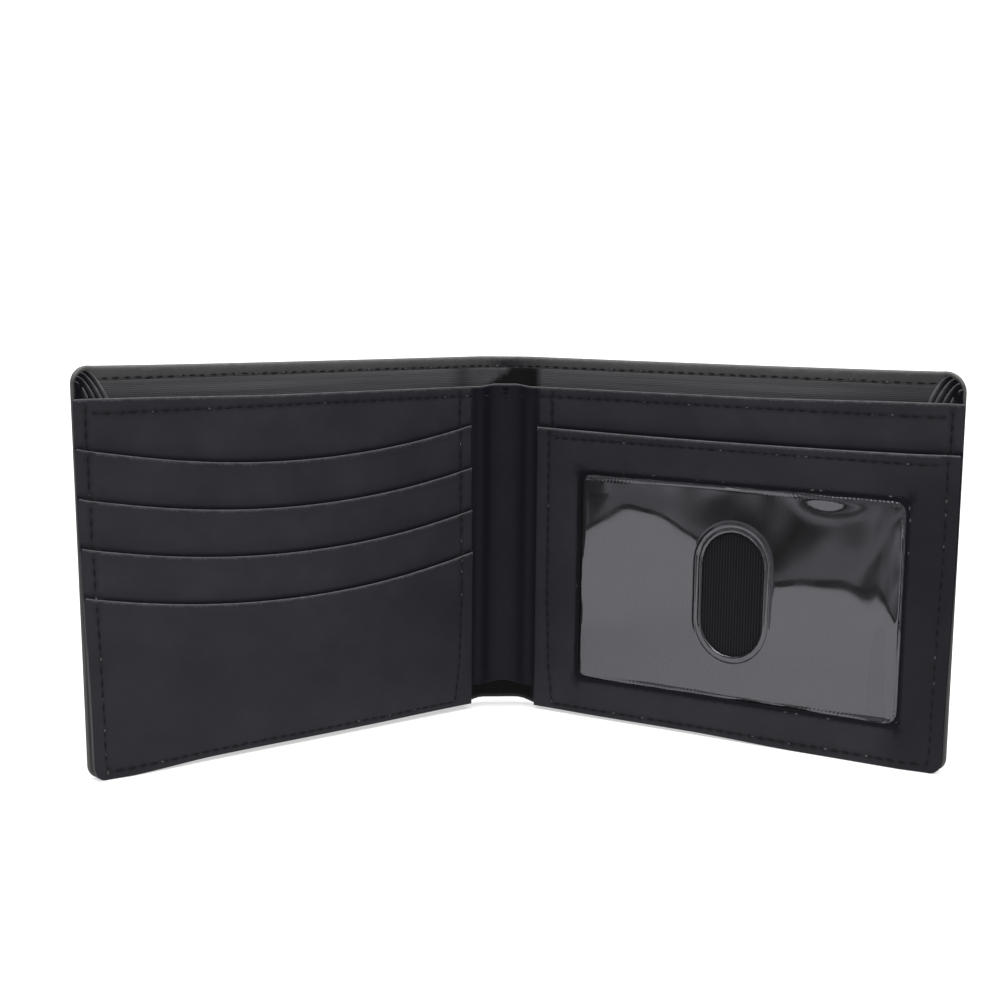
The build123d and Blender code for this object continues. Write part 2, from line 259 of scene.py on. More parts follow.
def lip(top, dip):
    """Height of a pocket's top edge, which dips in a shallow arc."""
    def height(along):
        share = (along - POCKET_START) / (POCKET_END - POCKET_START)
        return top - dip * (1 - (2 * share - 1) ** 2)
    return height


SLOT_LIPS = [lip(slot[1][1], SLOT_DIP) for slot in SLOTS]
WINDOW_LIP_LINE = lip(WINDOW_LIP, LIP_DIP)


def face_depth(side, along, up):
    """Depth of the visible inner face of a panel, lip by lip."""
    depth = np.full_like(along, DIVIDER_FRONT)
    if side > 0:
        return np.where(up < WINDOW_LIP_LINE(along), FACE, depth)
    for slot, line in zip(SLOTS, SLOT_LIPS):
        depth = np.where(up < line(along), slot[2][1], depth)
    return depth


# ---- seams

def arc(centre, radius, start, end, count=7):
    """Points along an arc, with its angles in degrees."""
    angles = np.radians(np.linspace(start, end, count))
    return [(centre[0] + radius * cos(a), centre[1] + radius * sin(a)) for a in angles]


def box_loop(low_x, high_x, low_y, high_y, radius):
    """A rounded rectangle, anticlockwise."""
    x0, x1, y0, y1 = low_x + radius, high_x - radius, low_y + radius, high_y - radius
    return (
        arc((x1, y0), radius, -90, 0) + arc((x1, y1), radius, 0, 90)
        + arc((x0, y1), radius, 90, 180) + arc((x0, y0), radius, 180, 270)
    )


def perimeter_path():
    """The seam down the free edge, along the bottom and up the near edge."""
    low, far = SEAM_LOW + 0.2, SEAM_END + 0.6
    corner = arc((far - 1.5, low + 1.5), 1.5, 0, -90, 4)
    return [
        (far, DIVIDER_TOP - 0.4), *corner, (SEAM_START + 2.2, low),
        (SEAM_START + 0.9, 12), (SEAM_START + 0.2, 30), (SEAM_START + 0.2, DIVIDER_TOP - 0.4),
    ]


PERIMETER = perimeter_path()
WINDOW_LOOP = box_loop(*(w - WINDOW_SEAM_GAP * d for w, d in zip(WINDOW, INWARD)), WINDOW_RADIUS + 0.8)
SEAMS = {
    "hem": [(-FOLD_X, HEM_SEAM), (REACH - 4.0, HEM_SEAM)],
    "divider": [(DIVIDER_START, DIVIDER_SEAM), (SEAM_END - 0.7, DIVIDER_SEAM)],
    "perimeter": PERIMETER,
    "lip": [(SEAM_START + 0.7, LIP_SEAM), (SEAM_END - 0.7, LIP_SEAM)],
    "window": WINDOW_LOOP + WINDOW_LOOP[:1],
}


def run_along(path, spacing, start=0.0):
    """Points at even spacing along a path, with the direction of the path at each."""
    path = np.array(path, float)
    steps = np.linalg.norm(np.diff(path, axis=0), axis=1)
    length = np.concatenate([[0], np.cumsum(steps)])
    at = np.arange(start, length[-1], spacing)
    points = np.stack([np.interp(at, length, path[:, k]) for k in (0, 1)], axis=1)
    index = np.clip(np.searchsorted(length, at, side="right") - 1, 0, len(steps) - 1)
    return points, (np.diff(path, axis=0) / steps[:, None])[index]


def even_loop(loop, spacing):
    """A closed loop's points at even spacing."""
    return run_along(loop + loop[:1], spacing)[0]


def seam_rows(names):
    """Points beside seams, close enough together to carry the dent that the thread pulls."""
    rows = []
    for name in names:
        points, direction = run_along(SEAMS[name], STITCH_PITCH / 2)
        across = np.stack([-direction[:, 1], direction[:, 0]], axis=1)
        rows += [points + across * offset for offset in (-1.1, -0.45, 0, 0.45, 1.1)]
    return rows


def seam_pull(names):
    """How strongly thread pulls the leather in, from 0 to 1, as a function of along and up."""
    lines = [run_along(SEAMS[name], STITCH_PITCH / 4)[0] for name in names]

    def dent(along, up):
        total = np.zeros_like(along)
        for line in lines:
            gap = (along[:, None] - line[None, :, 0]) ** 2 + (up[:, None] - line[None, :, 1]) ** 2
            closest = gap.argmin(axis=1)
            away = np.sqrt(gap[np.arange(len(along)), closest])
            pull = 0.8 - 0.2 * np.cos(2 * pi * closest / 4)
            total = np.maximum(total, pull * near(away, 0, 0.45))
        return total
    return dent


# ---- meshes

NO_CLOSER, OFF_EDGE = 0.14, 0.16  # least distances between a sheet's points, and from its edge
SHARP_DEGREES = 52


def finish_mesh(name, points, faces, uvs, wear_and_highlight, shade, material):
    """A closed smooth mesh, in metres, with its layout, its edge paleness (rubbing and painted highlight) and its
    shade (painted shade, and darker seams and window edge).
    """
    mesh = bpy.data.meshes.new(name)
    mesh.from_pydata((np.asarray(points) * MM).tolist(), [], faces)
    layout = mesh.uv_layers.new(name="layout")
    corners = np.zeros(len(mesh.loops), np.int32)
    mesh.loops.foreach_get("vertex_index", corners)
    layout.data.foreach_set("uv", np.asarray(uvs, np.float32)[corners].ravel())
    # Per point: edge paleness from rubbing and painted highlight, and painted shade with the darker seams.
    for key, values in (("wear_and_highlight", wear_and_highlight), ("shade", shade)):
        layer = mesh.attributes.new(key, "FLOAT", "POINT")
        layer.data.foreach_set("value", np.asarray(values, np.float32))
    work = bmesh.new()
    work.from_mesh(mesh)
    bmesh.ops.recalc_face_normals(work, faces=work.faces)
    work.to_mesh(mesh)
    work.free()
    mesh.shade_smooth()
    mesh.set_sharp_from_angle(angle=radians(SHARP_DEGREES))
    mesh.materials.append(material)
    piece = bpy.data.objects.new(name, mesh)
    bpy.context.scene.collection.objects.link(piece)
    return piece


def outline(start, end, low, high, low_radius=0.0, high_radius=0.0, step=2.0):
    """Anticlockwise edge of a sheet. low and high may be functions of along."""
    low_at, high_at = level_line(low), level_line(high)
    floor, roof = float(low_at(end)) + low_radius, float(high_at(end)) - high_radius
    across, rises = int((end - start) / step) + 1, int((roof - floor) / step) + 2
    points = [(a, float(low_at(a))) for a in np.linspace(start, end - low_radius, across)]
    if low_radius:
        points += arc((end - low_radius, floor), low_radius, -90, 0, 9)[1:]
    points += [(end, z) for z in np.linspace(floor, roof, rises)[1:]]
    if high_radius:
        points += arc((end - high_radius, roof), high_radius, 0, 90, 9)[1:]
    points += [(a, float(high_at(a))) for a in np.linspace(end - high_radius, start, across)[1:]]
    near_end = np.linspace(float(high_at(start)), float(low_at(start)), rises)[1:-1]
    return points + [(start, z) for z in near_end]


def inside(points, loop):
    """Which points lie inside a closed loop."""
    x, y = points[:, :1], points[:, 1:]
    a, b = loop, np.roll(loop, -1, axis=0)
    rise = np.where(b[:, 1] == a[:, 1], 1e-9, b[:, 1] - a[:, 1])
    crosses = (a[:, 1] > y) != (b[:, 1] > y)
    at = a[:, 0] + (y - a[:, 1]) / rise * (b[:, 0] - a[:, 0])
    return (crosses & (x < at)).sum(axis=1) % 2 == 1


def away_from(points, others):
    """Distance from each point to the nearest of the others."""
    gaps = [np.hypot(points[:, 0, None] - part[:, 0], points[:, 1, None] - part[:, 1]).min(axis=1)
            for part in np.array_split(others, max(1, len(others) // 400))]
    return np.min(gaps, axis=0)


def outward(loop, plain_at):
    """Direction out of the sheet at each point of an edge. A plain edge doesn't move sideways."""
    before, after = loop - np.roll(loop, 1, axis=0), np.roll(loop, -1, axis=0) - loop
    sides = [
        np.stack([d[:, 1], -d[:, 0]], axis=1) / np.linalg.norm(d, axis=1)[:, None] for d in (before, after)
    ]
    middle = sides[0] + sides[1]
    middle /= np.linalg.norm(middle, axis=1)[:, None]
    out = middle / np.maximum((middle * sides[0]).sum(axis=1), 0.5)[:, None]
    if plain_at is not None:
        on_edge = np.abs(loop[:, 0] - plain_at) < 1e-6
        out[on_edge, 0] = 0
    return out


def fill(loops, points, step):
    """Triangles that fill the first loop less the others, through the given points and a grid."""
    outer = loops[0]
    low, high = outer.min(axis=0), outer.max(axis=0)
    edge = np.concatenate(loops)
    given = np.concatenate(points)
    _, first = np.unique(np.round(given / NO_CLOSER), axis=0, return_index=True)
    given = given[np.sort(first)]
    given = given[inside(given, outer) & (away_from(given, edge) > OFF_EDGE)]
    columns, rows = (np.linspace(a, b, int((b - a) / step) + 2)[1:-1] for a, b in zip(low, high))
    grid = np.stack(np.meshgrid(columns, rows), axis=-1).reshape(-1, 2)
    grid = grid[inside(grid, outer) & (away_from(grid, edge) > 0.55 * step)]
    grid = grid[away_from(grid, given) > 0.5 * step]
    for hole in loops[1:]:
        grid, given = (part[~inside(part, hole)] for part in (grid, given))
    flat = np.concatenate([edge, given, grid])
    edges, first = [], 0
    for loop in loops:
        count = len(loop)
        edges += [(first + i, first + (i + 1) % count) for i in range(count)]
        first += count
    found = geometry.delaunay_2d_cdt([Vector(p) for p in flat], edges, [], 0, 1e-6)
    where, triangles, origin = np.array([v[:] for v in found[0]]), np.array(found[2]), found[3]
    index = [o[0] for o in origin]
    centres = where[triangles].mean(axis=1)
    keep = inside(centres, outer)
    for hole in loops[1:]:
        keep &= ~inside(centres, hole)
    return flat, [[index[v] for v in t] for t in triangles[keep]]


def sheet(
    name, side, plan, loops, back, front, material, *, step=2.4, rows=(), shape=None, round_by=None,
    plain_at=None, wear_and_highlight=None, shade=None, rings=4, inner_edge=0.42, layout_shift=0.0,
):
    """A sheet with two faces and a rounded rim. back and front are its depths, and may be functions.

    loops are its edge and its holes, plain_at is an edge that meets another sheet square on, the paleness function
    gives how pale its rim is from the direction that the rim faces, from rubbing and painted highlight, and shade
    where its front is darker, from painted shade and darker seams.
    """
    loops = [np.array(loop, float) for loop in loops]
    loops = loops[:1] + [loop[::-1] for loop in loops[1:]]
    front, back = level(front), level(back)
    sample = loops[0][:1]
    thick = float((front(sample[:, 0], sample[:, 1]) - back(sample[:, 0], sample[:, 1]))[0])
    radius = thick / 2 if round_by is None else round_by
    out = [outward(loop, plain_at) for loop in loops]
    flats = [loop - o * radius for loop, o in zip(loops, out)]
    inner = [loop - o * (radius + inner_edge) for loop, o in zip(loops, out)]
    flat, triangles = fill(flats, inner + list(rows), step)

    points, uvs, wear_and_highlight_share, shades, faces = [], [], [], [], []

    def add(at, share, wear_and_highlight_by):
        along, up = at[:, 0], at[:, 1]
        low, high = back(along, up), front(along, up)
        depth = high + (low - high) * share
        if shape is not None:
            depth = depth + shape(along, up)
        along, up, depth = settle(side, along, up, depth)
        x, y = plan(along, depth)
        first = sum(len(p) for p in points)
        points.append(np.stack([side * x, y, up], axis=1))
        uvs.append(at / 100 + layout_shift)
        wear_and_highlight_share.append(wear_and_highlight_by)
        on_front = 1 - smooth((share - 0.6) / 0.4)
        shades.append(np.zeros(len(at)) if shade is None else shade(at[:, 0], at[:, 1]) * on_front)
        return first

    count = sum(len(loop) for loop in loops)
    rim_wear_and_highlight = [wear_and_highlight(o) if wear_and_highlight is not None else np.zeros(len(o)) for o in out]
    flat_wear_and_highlight = np.zeros(len(flat))
    flat_wear_and_highlight[:count] = np.concatenate(rim_wear_and_highlight) * 0.45
    front_at = add(flat, 0.0, flat_wear_and_highlight)
    back_at = add(flat, 1.0, flat_wear_and_highlight * 0.5)
    faces += [[front_at + v for v in t] for t in triangles]
    faces += [[back_at + v for v in reversed(t)] for t in triangles]
    first = 0
    for loop, o, w in zip(loops, out, rim_wear_and_highlight):
        ring = [front_at + first]
        for k in range(1, rings):
            turn = pi * k / rings
            ring.append(add(loop - o * radius * (1 - sin(turn)), (1 - cos(turn)) / 2, w))
        ring.append(back_at + first)
        size = len(loop)
        for a, b in zip(ring, ring[1:]):
            faces += [[b + i, b + (i + 1) % size, a + (i + 1) % size, a + i] for i in range(size)]
        first += size
    layers = [np.concatenate(values) for values in (uvs, wear_and_highlight_share, shades)]
    return finish_mesh(name, np.concatenate(points), faces, *layers, material)


def stitches(name, side, plan, path, surface, material, outside=False, start=0.6, closed=False):
    """A row of separate stitches on a face. surface gives the depth of the face."""
    firsts, direction = run_along(path, STITCH_PITCH, start)
    if not closed:
        firsts, direction = firsts[:-1], direction[:-1]
    around, lengthwise = 7, 7
    share = np.linspace(0, 1, lengthwise)
    height = (np.sin(pi * share) ** 0.6) * THREAD * 0.42 - 0.14
    size = THREAD / 2 * (0.45 + 0.55 * np.sin(pi * np.clip(share, 0.02, 0.98)) ** 0.5)
    sign = -1 if outside else 1
    points, uvs, wear_and_highlight, faces = [], [], [], []
    for first, ahead in zip(firsts, direction):
        lean = random.normal(0, 0.05)
        ahead = np.array([
            ahead[0] * cos(lean) - ahead[1] * sin(lean), ahead[0] * sin(lean) + ahead[1] * cos(lean)
        ])
        across = np.array([-ahead[1], ahead[0]])
        middle = first[None] + ahead[None] * share[:, None] * STITCH_LENGTH * random.uniform(0.93, 1.04)
        # Now and then a stitch gets a spot of painted glint along it.
        pale = near(share, random.uniform(0, 1), 0.14) * (random.random() < PAINTED_GLINT_CHANCE)
        base = len(points) * lengthwise
        for k in range(around):
            turn = 2 * pi * k / around
            at = middle + across * (size * cos(turn))[:, None]
            depth = surface(at[:, 0], at[:, 1]) + sign * (height + size * sin(turn) * 0.8)
            along, up, depth = settle(side, at[:, 0], at[:, 1], depth)
            x, y = plan(along, depth)
            points.append(np.stack([side * x, y, up], axis=1))
            uvs.append(np.stack([share * 5, np.full(lengthwise, k / around)], axis=1))
            wear_and_highlight.append(pale)
            a, b = base + k * lengthwise, base + (k + 1) % around * lengthwise
            faces += [[a + i, a + i + 1, b + i + 1, b + i] for i in range(lengthwise - 1)]
        faces.append([base + k * lengthwise for k in range(around)])
        faces.append([base + k * lengthwise + lengthwise - 1 for k in reversed(range(around))])
    points, uvs, wear_and_highlight = (np.concatenate(values) for values in (points, uvs, wear_and_highlight))
    return finish_mesh(name, points, faces, uvs, wear_and_highlight, wear_and_highlight * 0, material)


def thick_grid(name, grid, thickness, uvs, wear_and_highlight, shade, material):
    """A closed sheet with a given thickness about a grid of points."""
    rows, columns = grid.shape[:2]
    down, over = np.gradient(grid, axis=0), np.gradient(grid, axis=1)
    normal = np.cross(down, over)
    normal /= np.linalg.norm(normal, axis=2)[:, :, None]
    points = np.concatenate([(grid + normal * thickness * s).reshape(-1, 3) for s in (0.5, -0.5)])
    index = np.arange(rows * columns).reshape(rows, columns)
    other = index + rows * columns
    faces = []
    for r in range(rows - 1):
        for c in range(columns - 1):
            faces.append([index[r, c], index[r, c + 1], index[r + 1, c + 1], index[r + 1, c]])
            faces.append([other[r + 1, c], other[r + 1, c + 1], other[r, c + 1], other[r, c]])
    edge = [*index[0, :], *index[1:, -1], *index[-1, -2::-1], *index[-2:0:-1, 0]]
    for a, b in zip(edge, edge[1:] + edge[:1]):
        faces.append([a, a + rows * columns, b + rows * columns, b])
    faces = [[int(v) for v in f] for f in faces]
    layers = [np.concatenate([v, v]) for v in (uvs.reshape(-1, 2), wear_and_highlight.ravel(), shade.ravel())]
    return finish_mesh(name, points, faces, *layers, material)


# ---- materials

class Shader:
    """Short helpers for the nodes of one material, or of the world."""

    def __init__(self, name, kinds=bpy.data.materials, surface="Principled BSDF"):
        self.owner = kinds.new(name)
        self.owner.use_nodes = True
        self.tree = self.owner.node_tree
        self.surface = self.tree.nodes[surface]

    def node(self, kind, settings=(), **inputs):
        """A new node with its settings and its inputs, which are values or other sockets."""
        made = self.tree.nodes.new("ShaderNode" + kind)
        for key, value in dict(settings).items():
            setattr(made, key, value)
        for key, value in inputs.items():
            numbered = key[0] == "i" and key[1:].isdigit()
            self.set(made.inputs[int(key[1:]) if numbered else key], value)
        return made

    def set(self, socket, value):
        if isinstance(value, bpy.types.NodeSocket):
            self.tree.links.new(value, socket)
        else:
            socket.default_value = value

    def put(self, **inputs):
        for key, value in inputs.items():
            self.set(self.surface.inputs[key.replace("_", " ")], value)

    def layout(self, along=1.0, up=1.0):
        """The sheet's own coordinates, 1 to 100 mm, stretched each way."""
        uv = self.node("UVMap", {"uv_map": "layout"}).outputs[0]
        return self.node("Mapping", i0=uv, Scale=(along, up, 1)).outputs[0]

    def attribute(self, name):
        return self.node("Attribute", {"attribute_name": name}).outputs["Fac"]

    def noise(self, where, scale, detail=2.0, roughness=0.5):
        made = self.node("TexNoise", Vector=where, Scale=scale, Detail=detail, Roughness=roughness)
        return made.outputs["Fac"]

    def sum(self, a, b, operation="ADD"):
        return self.node("Math", {"operation": operation}, i0=a, i1=b).outputs[0]

    def times(self, a, b):
        return self.sum(a, b, "MULTIPLY")

    def ripple(self, value, times):
        """Sine of a value times a number."""
        return self.node("Math", {"operation": "SINE"}, i0=self.times(value, times)).outputs[0]

    def remap(self, value, low, high, to_low, to_high, kind="LINEAR"):
        limits = {"From Min": low, "From Max": high, "To Min": to_low, "To Max": to_high}
        return self.node("MapRange", {"interpolation_type": kind}, Value=value, **limits).outputs[0]

    def mix(self, share, a, b):
        return self.node("Mix", {"data_type": "RGBA"}, i0=share, i6=a, i7=b).outputs[2]

    def bump(self, height, strength, distance):
        """Relief whose depth is given in millimetres."""
        made = self.node("Bump", Height=height, Strength=strength, Distance=distance * MM)
        self.put(Normal=made.outputs[0])


def grey(amount, blue=0.0):
    return (amount, amount, amount * (1 + blue), 1)


def leather(name, colour, light, wear_and_highlight, grain, rough=(0.5, 0.62), shine=0.16, height=0.035):
    """Grained leather: soft tone patches, fine pebbles, edges paler from rubbing and painted highlight, and
    painted shade that darkens, blues and dulls it.
    """
    s = Shader(name)
    where = s.layout()
    patches = s.noise(where, 7.0, 3.0, 0.6)
    tone = s.mix(s.remap(patches, 0.35, 0.7, 0, 1), colour, light)
    # Paler edges, from rubbing and painted highlight, broken up by noise.
    wear_and_highlight_share = s.times(s.attribute("wear_and_highlight"), s.remap(s.noise(where, 60.0, 2.0), 0.3, 0.65, 0.6, 1.0))
    pebbles = s.node(
        "TexVoronoi", {"feature": "SMOOTH_F1"}, Vector=where, Scale=grain, Smoothness=0.6
    ).outputs["Distance"]
    creases = s.noise(where, grain * 0.35, 4.0, 0.65)
    # Painted shade: where the shade is high the tone goes to a bluish dark and the gloss drops.
    shade = s.attribute("shade")
    tone = s.mix(shade, tone, [c * share for c, share in zip(colour, (0.16, 0.14, 0.24, 1))])
    s.put(Base_Color=s.mix(wear_and_highlight_share, tone, wear_and_highlight), Roughness=s.remap(creases, 0.3, 0.7, *rough))
    s.put(Specular_IOR_Level=s.remap(shade, 0, 1, shine, shine * 0.5), Specular_Tint=(0.93, 0.91, 1.0, 1))
    s.bump(s.sum(s.times(pebbles, 0.55), creases), 0.55, height)
    return s.owner


def ribbed(name, colour, light, pitch, upright, depth, contrast=0.6, rough=0.85, shine=0.25):
    """Woven fabric with fine ribs at a pitch in mm. upright is True for ribs that stand upright."""
    s = Shader(name)
    where = s.layout()
    split = s.node("SeparateXYZ", i0=where)
    place, other = (split.outputs[k] for k in ((0, 1) if upright else (1, 0)))
    place = s.sum(place, s.times(s.noise(where, 30.0), 0.0012))
    ribs, picks = s.ripple(place, 2 * pi * 100 / pitch), s.ripple(other, 2 * pi * 100 / (pitch * 0.8))
    height = s.sum(ribs, s.times(picks, 0.35))
    streaks = s.noise(s.layout(*((90.0, 4.0) if upright else (2.0, 90.0))), 1.0, 3.0, 0.6)
    share = s.sum(s.remap(height, -1.3, 1.3, 0, contrast), s.remap(streaks, 0.3, 0.7, 0, 1 - contrast))
    # Painted shade: where the shade is high the fabric goes dark and loses gloss and sheen.
    shade = s.attribute("shade")
    tone = s.mix(shade, s.mix(share, colour, light), [c * 0.1 for c in colour[:3]] + [1])
    s.put(Base_Color=tone, Roughness=s.remap(streaks, 0.3, 0.7, rough - 0.1, rough), Sheen_Roughness=0.5)
    s.put(Specular_IOR_Level=s.remap(shade, 0, 1, shine, 0.02), Sheen_Weight=s.remap(shade, 0, 1, 0.12, 0))
    s.bump(height, 0.6, depth)
    return s.owner


def thread_material():
    """Black twisted thread; a few stitches get a spot of painted glint."""
    s = Shader("thread")
    split = s.node("SeparateXYZ", i0=s.node("UVMap", {"uv_map": "layout"}).outputs[0])
    ply = s.ripple(s.sum(split.outputs[0], split.outputs[1]), 2 * pi)
    dark = s.mix(s.remap(ply, -1, 1, 0, 1), grey(0.0015), grey(0.005))
    # The chosen spots are painted glints, pale grey.
    s.put(Base_Color=s.mix(s.attribute("wear_and_highlight"), dark, grey(0.09)))
    s.put(Roughness=s.remap(ply, -1, 1, 0.6, 0.8), Specular_IOR_Level=0.15)
    s.bump(ply, 0.5, 0.05)
    return s.owner


def film_material():
    """Clear glossy film over black fabric. Its two faces together reflect more than one would."""
    s = Shader("clear_film")
    haze = s.noise(s.layout(), 12.0, 3.0, 0.6)
    s.put(Base_Color=s.mix(haze, grey(0.006), grey(0.016)), Roughness=s.remap(haze, 0.3, 0.7, 0.015, 0.05))
    s.put(IOR=1.95, Alpha=0.8, Specular_Tint=(0.90, 0.89, 0.98, 1))
    return s.owner


def board_material():
    """Plain grey-brown board with short fibres."""
    s = Shader("stiffener_board")
    fibres = s.noise(s.layout(1.0, 3.0), 60.0, 5.0, 0.7)
    s.put(Base_Color=s.mix(fibres, (0.30, 0.26, 0.21, 1), (0.50, 0.45, 0.37, 1)))
    s.put(Roughness=s.remap(fibres, 0.3, 0.7, 0.8, 0.95))
    s.bump(fibres, 0.4, 0.05)
    return s.owner


# Each leather's third colour is for its paler edges: rubbing and painted highlight on the cover, painted highlight
# on the pockets' upward edges and on the gusset's pleat ridges.
COVER_LEATHER = leather(
    "cover_leather", (0.049, 0.050, 0.0485, 1), (0.060, 0.061, 0.0585, 1), (0.105, 0.107, 0.099, 1), 190.0,
    height=0.05,
)
POCKET_LEATHER = leather(
    "pocket_leather", (0.0152, 0.0149, 0.0180, 1), (0.0204, 0.0201, 0.0240, 1), (0.105, 0.105, 0.11, 1),
    240.0, rough=(0.52, 0.64), height=0.022,
)
GUSSET_LEATHER = leather(
    "gusset_leather", (0.0090, 0.0090, 0.0100, 1), (0.0150, 0.0150, 0.0160, 1), (0.15, 0.15, 0.155, 1), 200.0,
    rough=(0.42, 0.55),
)
LINING_FABRIC = ribbed(
    "lining_fabric", grey(0.032, 0.06), grey(0.063, 0.06), 0.42, False, 0.02, contrast=0.3, rough=0.6
)
RIBBED_FABRIC = ribbed("ribbed_fabric", grey(0.0010, 0.8), grey(0.0046, 0.6), 0.72, True, 0.12, shine=0.08)
CLEAR_FILM = film_material()
CARDBOARD = board_material()
THREAD_BLACK = thread_material()


# ---- pieces

def put(piece, side, slot, *nodes, bent=None):
    """Hides the CAD nodes that the piece stands for. A piece that isn't bent moves with its panel's body; a bent
    one has its transform baked in and moves with nothing. The slot argument is not used.
    """
    hand = "left" if side < 0 else "right"
    if nodes:
        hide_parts(*nodes)
    if bent:
        start, end = bent
        [c * MM for c in start]
        [c * MM for c in end]
        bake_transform(piece)
    else:
        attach(piece, f"{hand}_panel")


def cover_bend(side):
    """Where the cover and its lining bend: from inside the spine to just past the fold."""
    reach = 2.5
    end = (side * (FOLD_X + reach * cos(ANGLE)), FOLD_Y - reach * sin(ANGLE), 0)
    return (side * (FOLD_X - reach), FOLD_Y, 0), end


def divider_bend(side):
    """Where the slack middle of the divider bends."""
    return (side * 1.0, FOLD_Y, 0), (side * 9.0, FOLD_Y, 0)


def cover_wear_and_highlight(out):
    """Edges all round the cover paler from rubbing, and more so where they face up: a painted highlight, as from
    light above.
    """
    return 0.2 + 0.8 * smooth((out[:, 1] + 0.2) / 0.9)


def upper_edge_highlight(out):
    """Edges that face up made paler: a painted highlight, as from light above."""
    return smooth((out[:, 1] - 0.55) / 0.35)


def frame_lip_highlight(out):
    """Painted highlight on the lip of the window panel; none on the cut edge of its window, which is dark."""
    return upper_edge_highlight(out) if out[0, 1] < 0 else np.zeros(len(out))


def spine_low_edge(side, height):
    """Bottom edge that lifts in a shallow arch across the spine."""
    end, width = (7.5, 5.0) if side < 0 else (5.0, 6.5)
    return lambda along: height + SPINE_ARCH * smooth((end - along) / width)


def spine_shade(side, along):
    """Painted shade on the leather across the spine, which also loses some gloss; darkest in its valleys."""
    x = np.interp(along, DIVIDER_ALONG, DIVIDER_LINE[:, 0])
    inner = smooth((POCKET_START + 0.4 - along) / 0.6)
    valley = near(x, 4.6, 1.3) * (0.34 if side < 0 else 0.28) + near(x, 7.6, 0.9) * 0.22
    return inner * (0.70 + valley)


def far_shade(side, along):
    """Painted shade inside the compartment, deepening towards the free edges, most of all on the right."""
    return (0.22 + 0.10 * side) * smooth((along - 75) / 30)


def lining_shade(side, along, up):
    """Painted shade on the lining: a dark slanting patch where it folds over at the spine, a soft band beside it,
    a dark foot low across the spine, and more towards the free edges.
    """
    x = side * (FOLD_X + np.where(along > 0, along * cos(ANGLE), along))
    patch = smooth((x + 4.6 - (up - 83) * 1.4) / 1.0) * smooth((9.6 - x) / 0.8)
    foot = 0.8 * smooth((12 - up) / 3) * smooth((12 - np.abs(x)) / 3)
    band = 0.45 * near(x, -11.5, 2.2) + far_shade(side, along)
    return np.maximum(0.9 * patch + band * (1 - patch), foot)


def cover_shade(side, pull, along, up):
    """Dark at the seams, with painted shade on the hem over the spine and towards the free edges, and at the
    spine's foot.
    """
    x = side * (FOLD_X + along)
    hem = 0.55 * near(x, 1, 6) + 0.25 * near(x, 6, 12) + 1.1 * far_shade(side, along)
    foot = 0.8 * smooth((5 - up) / 2) * smooth((9 - along) / 2)
    return np.maximum.reduce([COVER_SEAM_SHADE * pull, foot, hem * smooth((up - HEM_LOW) / 0.3)])


def lip_shape(line, gape, crease=0.05):
    """A pocket stands off a little at the middle of its top edge, whose fold shows as a crease."""
    def shape(along, up):
        share = (along - POCKET_START) / (POCKET_END - POCKET_START)
        below = line(along) - up
        open_by = gape * np.clip(1 - (2 * share - 1) ** 2, 0, 1) * np.exp(-np.maximum(below, 0) / 7.0)
        fold = crease * (1 - smooth((below - 1.5) / 0.5)) - crease * 0.8 * near(below, 2.0, 0.35)
        return open_by + fold
    return shape


def lip_shadow(line, along, up):
    """How dark a sheet is just above the lip of the pocket in front of it."""
    return 0.88 * near(up - line(along), 0.15, 0.8) * smooth((along - POCKET_START) / 0.5)


def rows_below(line, offsets=CREASE_ROWS, start=POCKET_START + 0.5, end=POCKET_END):
    """Points at some distances below a line, by default the ones that carry a lip's crease."""
    along = np.arange(start, end, 1.6)
    return [np.stack([along, line(along) - offset], axis=1) for offset in offsets]


def upright_rows(places, low, high, count):
    """Upright lines of points, which let a sheet bend between them."""
    return [np.stack([np.full(count, a), np.linspace(low, high, count)], axis=1) for a in places]


def make_cover(side, hand):
    """Half of the outer leather, with its turned hem, from the middle of the spine."""
    seams = ["hem", "perimeter"]
    pull = seam_pull(seams)

    def front(along, up):
        """The leather is turned over round the board, and stands thicker at the hem."""
        on_board = smooth((along - BOARD_START + 0.2) / 0.3) * smooth((BOARD_END + 0.2 - along) / 0.3)
        on_board = on_board * smooth((up - BOARD_LOW + 0.2) / 0.3) * smooth((BOARD_TOP + 0.2 - up) / 0.3)
        turned = LEATHER + (LINING_BACK - LEATHER) * (1 - on_board)
        hem = smooth((up - HEM_LOW + 0.1) / 0.3) * (HEM_DEPTH - LINING_BACK)
        return turned + hem - np.where(up > HEM_LOW, SEAM_DENT * pull(along, up), 0)

    def back(along, up):
        """The outer face has dents at the seams and is a little uneven."""
        uneven = 0.05 * np.sin(along / 9.0) * np.sin(up / 13.0) * smooth((along - 6) / 10)
        return SEAM_DENT * pull(along, up) + uneven

    edge = outline(
        -FOLD_X, REACH, spine_low_edge(side, 0), lambda a: HEIGHT + TOP_CORNER_RISE * (a / REACH) ** 4,
        BOTTOM_RADIUS, TOP_RADIUS[side], step=1.6,
    )
    rows = seam_rows(seams) + rows_below(level_line(HEM_LOW), (0.25, 0.0, -0.3), -FOLD_X + 0.6, REACH - 1)
    rows += upright_rows(np.linspace(-3.0, 3.0, 7), 1.5, HEIGHT - 1.5, 44)
    piece = sheet(
        f"cover_half_{hand}", side, cover_plan, [edge], back, front, COVER_LEATHER, rows=rows,
        plain_at=-FOLD_X, wear_and_highlight=cover_wear_and_highlight, shade=lambda a, u: cover_shade(side, pull(a, u), a, u),
        rings=6, round_by=0.55, step=2.6,
    )
    put(piece, side, "cover_leather", f"cover_{hand}", "spine_leather", bent=cover_bend(side))


